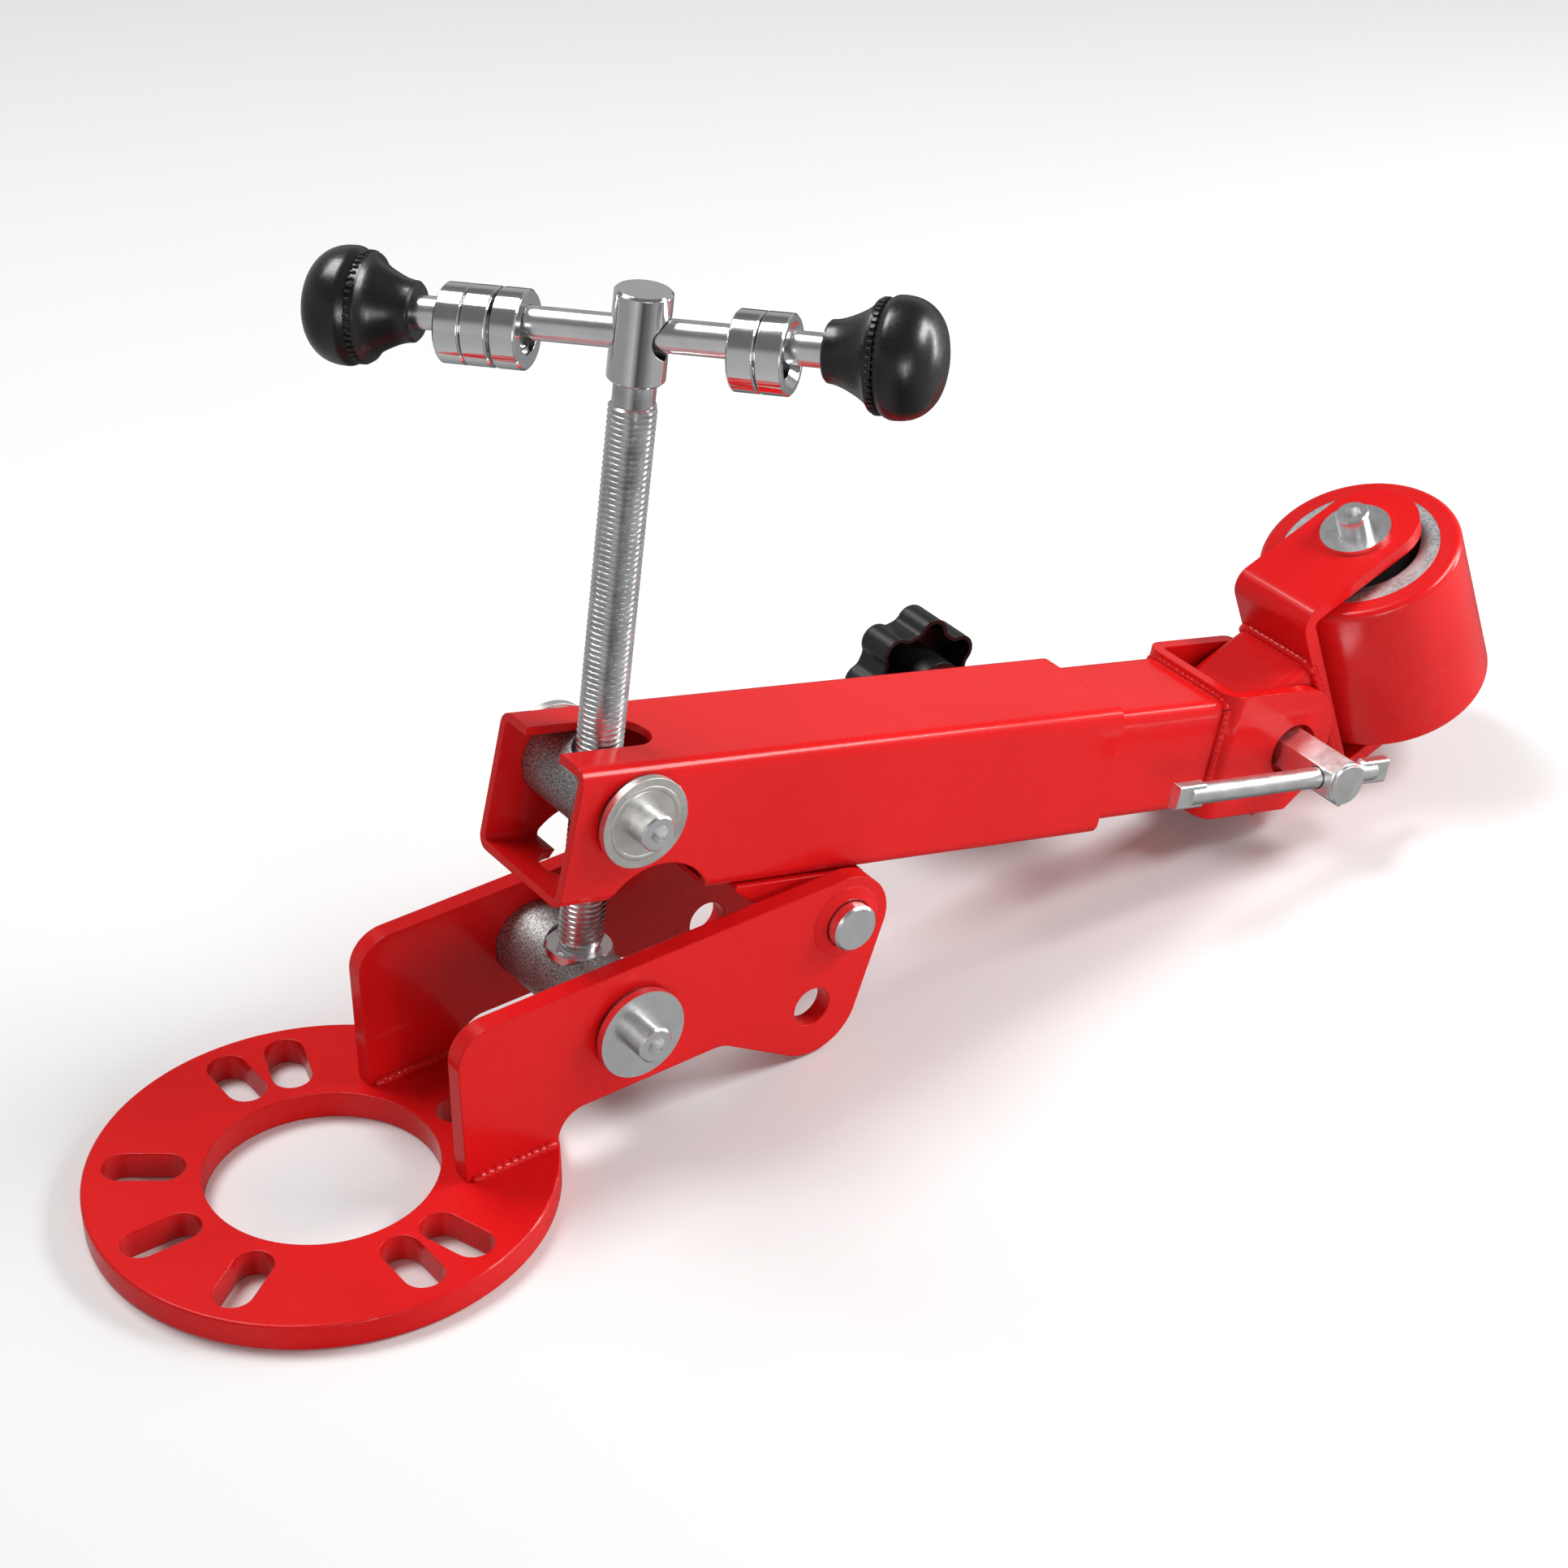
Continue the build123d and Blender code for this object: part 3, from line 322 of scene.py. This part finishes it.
def red_paint():
    """Red powder coat: deep colour, faint orange peel, a thin shine."""
    material, tree, shader = new_material("red_powder_coat", (0.62, 0.006, 0.007), 0, 0.28, 0.24, 0.06)
    shader.inputs["Specular IOR Level"].default_value = 0.14
    tint = add_noise(tree, 14, 3)
    colour = ramp(tree, tint.outputs["Fac"], (0.60, 0.006, 0.007), (0.67, 0.008, 0.009))
    tree.links.new(colour, shader.inputs["Base Color"])
    peel = add_noise(tree, 420, 2)
    rough = ramp(tree, peel.outputs["Fac"], 0.27, 0.29)
    tree.links.new(rough, shader.inputs["Roughness"])
    add_bump(tree, shader, peel.outputs["Fac"], 0.0000005, 0.2, edge=0.0008)
    return material


def steel(name, base, roughness, spread, grain, depth, wear=0.9, edge=0.0004):
    """Bare or plated steel: grain and depth of its marks, wear for how dark its stains are."""
    material, tree, shader = new_material(name, base, 1.0, roughness)
    marks = add_noise(tree, grain, 6)
    rough = ramp(tree, marks.outputs["Fac"], max(roughness - spread, 0.02), roughness + spread)
    tree.links.new(rough, shader.inputs["Roughness"])
    stain = add_noise(tree, 120, 5)
    dark = tuple(channel * wear for channel in base)
    colour = ramp(tree, stain.outputs["Fac"], dark, base, 0.3, 0.6)
    tree.links.new(colour, shader.inputs["Base Color"])
    add_bump(tree, shader, marks.outputs["Fac"], depth, 0.8, edge)
    return material


def blasted_steel():
    """Sand-blasted steel, speckled light and dark."""
    material, tree, shader = new_material("blasted_steel", (0.4, 0.4, 0.4), 1.0, 0.55)
    speckle = add_noise(tree, 1500, 2)
    colour = ramp(tree, speckle.outputs["Fac"], (0.20, 0.20, 0.20), (0.58, 0.58, 0.58), 0.38, 0.62)
    tree.links.new(colour, shader.inputs["Base Color"])
    add_bump(tree, shader, speckle.outputs["Fac"], 0.00008, 0.7, 0.0005)
    return material


def black_plastic(name, roughness, coat, grain_depth):
    """Moulded black plastic with a fine grain."""
    material, tree, shader = new_material(name, (0.006, 0.006, 0.0065), 0, roughness, coat, 0.12)
    grain = add_noise(tree, 900, 3)
    rough = ramp(tree, grain.outputs["Fac"], roughness - 0.04, roughness + 0.05)
    tree.links.new(rough, shader.inputs["Roughness"])
    cloud = add_noise(tree, 60, 3)
    tone = ramp(tree, cloud.outputs["Fac"], (0.004, 0.004, 0.0045), (0.008, 0.008, 0.009))
    tree.links.new(tone, shader.inputs["Base Color"])
    add_bump(tree, shader, grain.outputs["Fac"], grain_depth, 0.5, 0.0004)
    return material


def urethane():
    """Cast red polyurethane, smooth, with a slight glow at its edges."""
    material, tree, shader = new_material("red_urethane", (0.60, 0.006, 0.007), 0, 0.26, 0.2, 0.2)
    shader.inputs["Specular IOR Level"].default_value = 0.3
    shader.inputs["Subsurface Weight"].default_value = 0.08
    shader.inputs["Subsurface Scale"].default_value = 0.003
    cloud = add_noise(tree, 18, 3)
    colour = ramp(tree, cloud.outputs["Fac"], (0.54, 0.005, 0.006), (0.64, 0.008, 0.009))
    tree.links.new(colour, shader.inputs["Base Color"])
    scuff = add_noise(tree, 60, 3)
    rough = ramp(tree, scuff.outputs["Fac"], 0.24, 0.30)
    tree.links.new(rough, shader.inputs["Roughness"])
    add_bump(tree, shader, scuff.outputs["Fac"], 0.00001, 0.3)
    return material


RED = red_paint()
BRIGHT = steel(
    "bright_steel", (0.93, 0.93, 0.94), roughness=0.24, spread=0.015, grain=500, depth=0.000001, edge=0
)
POLISHED = steel(
    "polished_steel",
    (0.88, 0.88, 0.89),
    roughness=0.10,
    spread=0.02,
    grain=120,
    depth=0.000001,
    wear=0.95,
    edge=0.0003,
)
ZINC = steel(
    "zinc_plate", (0.88, 0.86, 0.81), roughness=0.42, spread=0.08, grain=700, depth=0.000008, wear=0.8
)
BLASTED = blasted_steel()
SCREW_STEEL = steel(
    "screw_steel",
    (0.80, 0.80, 0.81),
    roughness=0.24,
    spread=0.05,
    grain=500,
    depth=0.000001,
    wear=0.8,
    edge=0,
)
GALVANISED = steel(
    "galvanised_steel", (0.90, 0.90, 0.89), roughness=0.34, spread=0.05, grain=380, depth=0.000004, wear=0.82
)
SPRING = steel("spring_steel", (0.10, 0.10, 0.11), roughness=0.35, spread=0.1, grain=600, depth=0.00002)
CORE_STEEL = steel(
    "core_steel", (0.50, 0.50, 0.51), roughness=0.42, spread=0.10, grain=800, depth=0.00001, wear=0.8
)
SEAL = black_plastic("bearing_seal", roughness=0.38, coat=0.1, grain_depth=0.00002)
GLOSS_BLACK = black_plastic("gloss_black_plastic", roughness=0.30, coat=0.15, grain_depth=0.000005)
MATTE_BLACK = black_plastic("matte_black_plastic", roughness=0.36, coat=0.1, grain_depth=0.00002)
URETHANE = urethane()

FINISHES = {
    "red_paint": RED,
    "bright_steel": BRIGHT,
    "polished_steel": POLISHED,
    "zinc_steel": ZINC,
    "blasted_steel": BLASTED,
    "screw_steel": SCREW_STEEL,
    "galvanised": GALVANISED,
    "spring_steel": SPRING,
    "core_steel": CORE_STEEL,
    "bearing_seal": SEAL,
    "black_gloss": GLOSS_BLACK,
    "black_matte": MATTE_BLACK,
    "red_urethane": URETHANE,
}
# Two pieces have another finish than their slot names.
OWN_FINISHES = {"lower_trunnion": BLASTED, "pivot_pin": BRIGHT}
for entry in frame["record"]["subparts"]:
    finish = OWN_FINISHES.get(entry["node"], FINISHES[entry["material_slot"]])
    for material_slot in nodes[entry["node"]].material_slots:
        material_slot.material = finish

# ---- threaded screw ----------------------------------------------------------------------------
thread = threaded_rod(LOWER, SCREW_AXIS, THREAD_START, THREAD_END, THREAD_PITCH, THREAD_ROOT, THREAD_CREST)
new_object("screw_thread", thread, "screw", SCREW_STEEL)
core = lathe(
    LOWER,
    SCREW_AXIS,
    (
        (0, FOOT_START),
        (FOOT_R - FOOT_CHAMFER, FOOT_START),
        (FOOT_R, FOOT_START + FOOT_CHAMFER),
        (FOOT_R, CLIP_GROOVE_START),
        (CLIP_GROOVE_R, CLIP_GROOVE_START),
        (CLIP_GROOVE_R, CLIP_GROOVE_END),
        (FOOT_R, CLIP_GROOVE_END),
        (FOOT_R, THREAD_START),
        (CORE_R, THREAD_START),
        (CORE_R, THREAD_END),
        (NECK_R, NECK_START),
        (NECK_R, NECK_END),
        (0, NECK_END),
    ),
)
screw_core = new_object("screw_core", core, "screw", SCREW_STEEL)
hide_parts("adjusting_screw")

# ---- weld beads ------------------------------------------------------------------------------------
plate_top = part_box("hub_plate")[1].z
for cheek_name in ("near_cheek", "far_cheek"):
    low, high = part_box(cheek_name)
    outer, inner = (low.y, high.y) if cheek_name == "near_cheek" else (high.y, low.y)
    for face, y in (("outer", outer), ("inner", inner)):
        path = [Vector((x * MM, y, plate_top)) for x in (CHEEK_BEAD_START, CHEEK_BEAD_END)]
        bead = weld_bead(path, CHEEK_BEAD_R, seed=len(cheek_name) + len(face))
        new_object(f"weld_{cheek_name}_{face}", bead, "hub", RED)

yoke_back = along(HINGE, ARM_AXIS, TUBE_BEAD_BACK)
loop = rounded_loop(yoke_back, Y_AXIS, ARM_UP, TUBE_BEAD_HALF, TUBE_BEAD_HALF, TUBE_BEAD_CORNER)
new_object("weld_inner_tube", weld_bead(loop, TUBE_BEAD_R, seed=21), "extension", RED)

fork_back = along(HINGE, HEAD_AXIS, FORK_BEAD_OUT)
loop = rounded_loop(
    fork_back, Y_AXIS, HEAD_UP, FORK_BEAD_HALF_WIDTH, FORK_BEAD_HALF_HEIGHT, FORK_BEAD_CORNER
)
new_object("weld_fork", weld_bead(loop, FORK_BEAD_R, seed=34), "head", RED)

# ---- paint collars and washer rings ---------------------------------------------------------------
pin_low, pin_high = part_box("pivot_pin")
pin_r = (pin_high.x - pin_low.x) / 2 / MM
pivot = (pin_low + pin_high) / 2
pivot.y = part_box("near_cheek")[0].y
collar = lathe(pivot, -Y_AXIS, [(pin_r + out, rise) for out, rise in COLLAR_PROFILE])
new_object("pin_paint_collar", collar, "hub", RED)

washer_low, washer_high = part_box("upper_washers")
washer_r = (washer_high.x - washer_low.x) / 2 / MM
ring_outline = [(washer_r * share, rise) for share, rise in RING_PROFILE]
for name, side in (("washer_ring_near", -1), ("washer_ring_far", 1)):
    face = (washer_low + washer_high) / 2
    face.y = washer_low.y if side < 0 else washer_high.y
    washer_ring = lathe(face, Y_AXIS * side, ring_outline)
    new_object(name, washer_ring, "upper_carriage", ZINC)

# ---- toothed seams of the handle knobs -------------------------------------------------------------
def tooth(turn, radius):
    """Lower every other sector of a ring, which leaves teeth between."""
    return radius if cos(SEAM_TEETH * turn) > 0 else min(radius, SEAM_VALLEY_R)


bar_low, bar_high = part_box("handle_bar")
for name, side in (("seam_teeth_right", 1), ("seam_teeth_left", -1)):
    seam = along((bar_low + bar_high) / 2, HANDLE_AXIS, side * KNOB_SEAM)
    teeth = lathe(seam, HANDLE_AXIS * side, SEAM_PROFILE, steps=8 * SEAM_TEETH, wave=tooth)
    new_object(name, teeth, "handle", MATTE_BLACK)

# ---- floor, light and camera ---------------------------------------------------------------------------
floor_shape = bmesh.new()
bmesh.ops.create_grid(floor_shape, x_segments=1, y_segments=1, size=12)
floor_mesh = bpy.data.meshes.new("floor")
floor_shape.to_mesh(floor_mesh)
floor_shape.free()
floor = bpy.data.objects.new("floor", floor_mesh)
floor.location.z = cad_low[2] - 0.0002
bpy.context.scene.collection.objects.link(floor)
floor_material, _, floor_shader = new_material("pale_floor", (0.82, 0.82, 0.82), 0, 0.9)
floor_shader.inputs["Specular IOR Level"].default_value = 0.1
floor_mesh.materials.append(floor_material)
# Shiny metal sees the sky's lower bands in place of the floor.
floor.visible_glossy = False


def softbox(name, place, target, width, height, power):
    """A rectangular area light aimed at a point."""
    light = bpy.data.lights.new(name, "AREA")
    light.shape = "RECTANGLE"
    light.size = width
    light.size_y = height
    light.energy = power
    lamp = bpy.data.objects.new(name, light)
    lamp.location = place
    lamp.rotation_mode = "QUATERNION"
    lamp.rotation_quaternion = (Vector(target) - Vector(place)).to_track_quat("-Z", "Y")
    bpy.context.scene.collection.objects.link(lamp)


CENTRE = (0.2, 0.0, 0.1)
DISC = (0.0, 0.0, 0.0)
ROLLER = (0.55, 0.0, 0.15)
softbox("key_behind", (-0.09, 0.79, 1.69), CENTRE, 0.9, 0.7, 25)
softbox("front_fill", (-0.4, -1.9, 0.55), CENTRE, 1.2, 0.6, 7)
softbox("edge_light", (1.02, -0.50, 0.83), CENTRE, 0.6, 0.3, 10)
softbox("front_strip", (-0.26, -1.35, 0.30), DISC, 0.10, 0.5, 2)
softbox("right_strip", (1.55, -0.35, 0.35), ROLLER, 0.20, 0.9, 8)

# The sky glows at the horizon and is dim overhead; below the horizon, seen only in shiny metal,
# it has bright and dark bands from left to right, like the cards round a studio table.
world = bpy.data.worlds.new("studio")
world.use_nodes = True
sky = world.node_tree
direction = sky.nodes.new("ShaderNodeTexCoord").outputs["Generated"]
parts = sky.nodes.new("ShaderNodeSeparateXYZ")
sky.links.new(direction, parts.inputs["Vector"])
sideways = sky.nodes.new("ShaderNodeVectorMath")
sideways.operation = "DOT_PRODUCT"
sideways.inputs[1].default_value = CAMERA_AIM.cross(Vector((0, 0, 1))).normalized() / 2
sky.links.new(direction, sideways.inputs[0])
centred = sky.nodes.new("ShaderNodeMath")
centred.inputs[1].default_value = 0.5
sky.links.new(sideways.outputs["Value"], centred.inputs[0])
above = bands(sky, parts.outputs["Z"], ((0.0, 0.85), (0.35, 0.75), (0.55, 0.30), (1.0, 0.30)))
below = bands(sky, centred.outputs[0], ((0.1, 0.6), (0.3, 1.0), (0.5, 0.12), (0.7, 0.3), (0.9, 0.8)))
upward = ramp(sky, parts.outputs["Z"], 0.0, 1.0, 0.0, 0.02)
mix = sky.nodes.new("ShaderNodeMix")
mix.data_type = "RGBA"
sky.links.new(upward, mix.inputs["Factor"])
sky.links.new(below, mix.inputs["A"])
sky.links.new(above, mix.inputs["B"])
sky.links.new(mix.outputs["Result"], sky.nodes["Background"].inputs["Color"])
sky.nodes["Background"].inputs["Strength"].default_value = 0.5
bpy.context.scene.world = world

camera_data = bpy.data.cameras.new("camera")
camera_data.lens = CAMERA_LENS
camera_data.sensor_width = 36
camera_data.clip_start = 0.01
camera = bpy.data.objects.new("camera", camera_data)
camera.location = CAMERA_PLACE
camera.rotation_mode = "QUATERNION"
roll = Quaternion((0, 0, 1), radians(CAMERA_ROLL))
camera.rotation_quaternion = CAMERA_AIM.to_track_quat("-Z", "Y") @ roll
bpy.context.scene.collection.objects.link(camera)
bpy.context.scene.camera = camera
bpy.context.scene.view_settings.view_transform = "Standard"
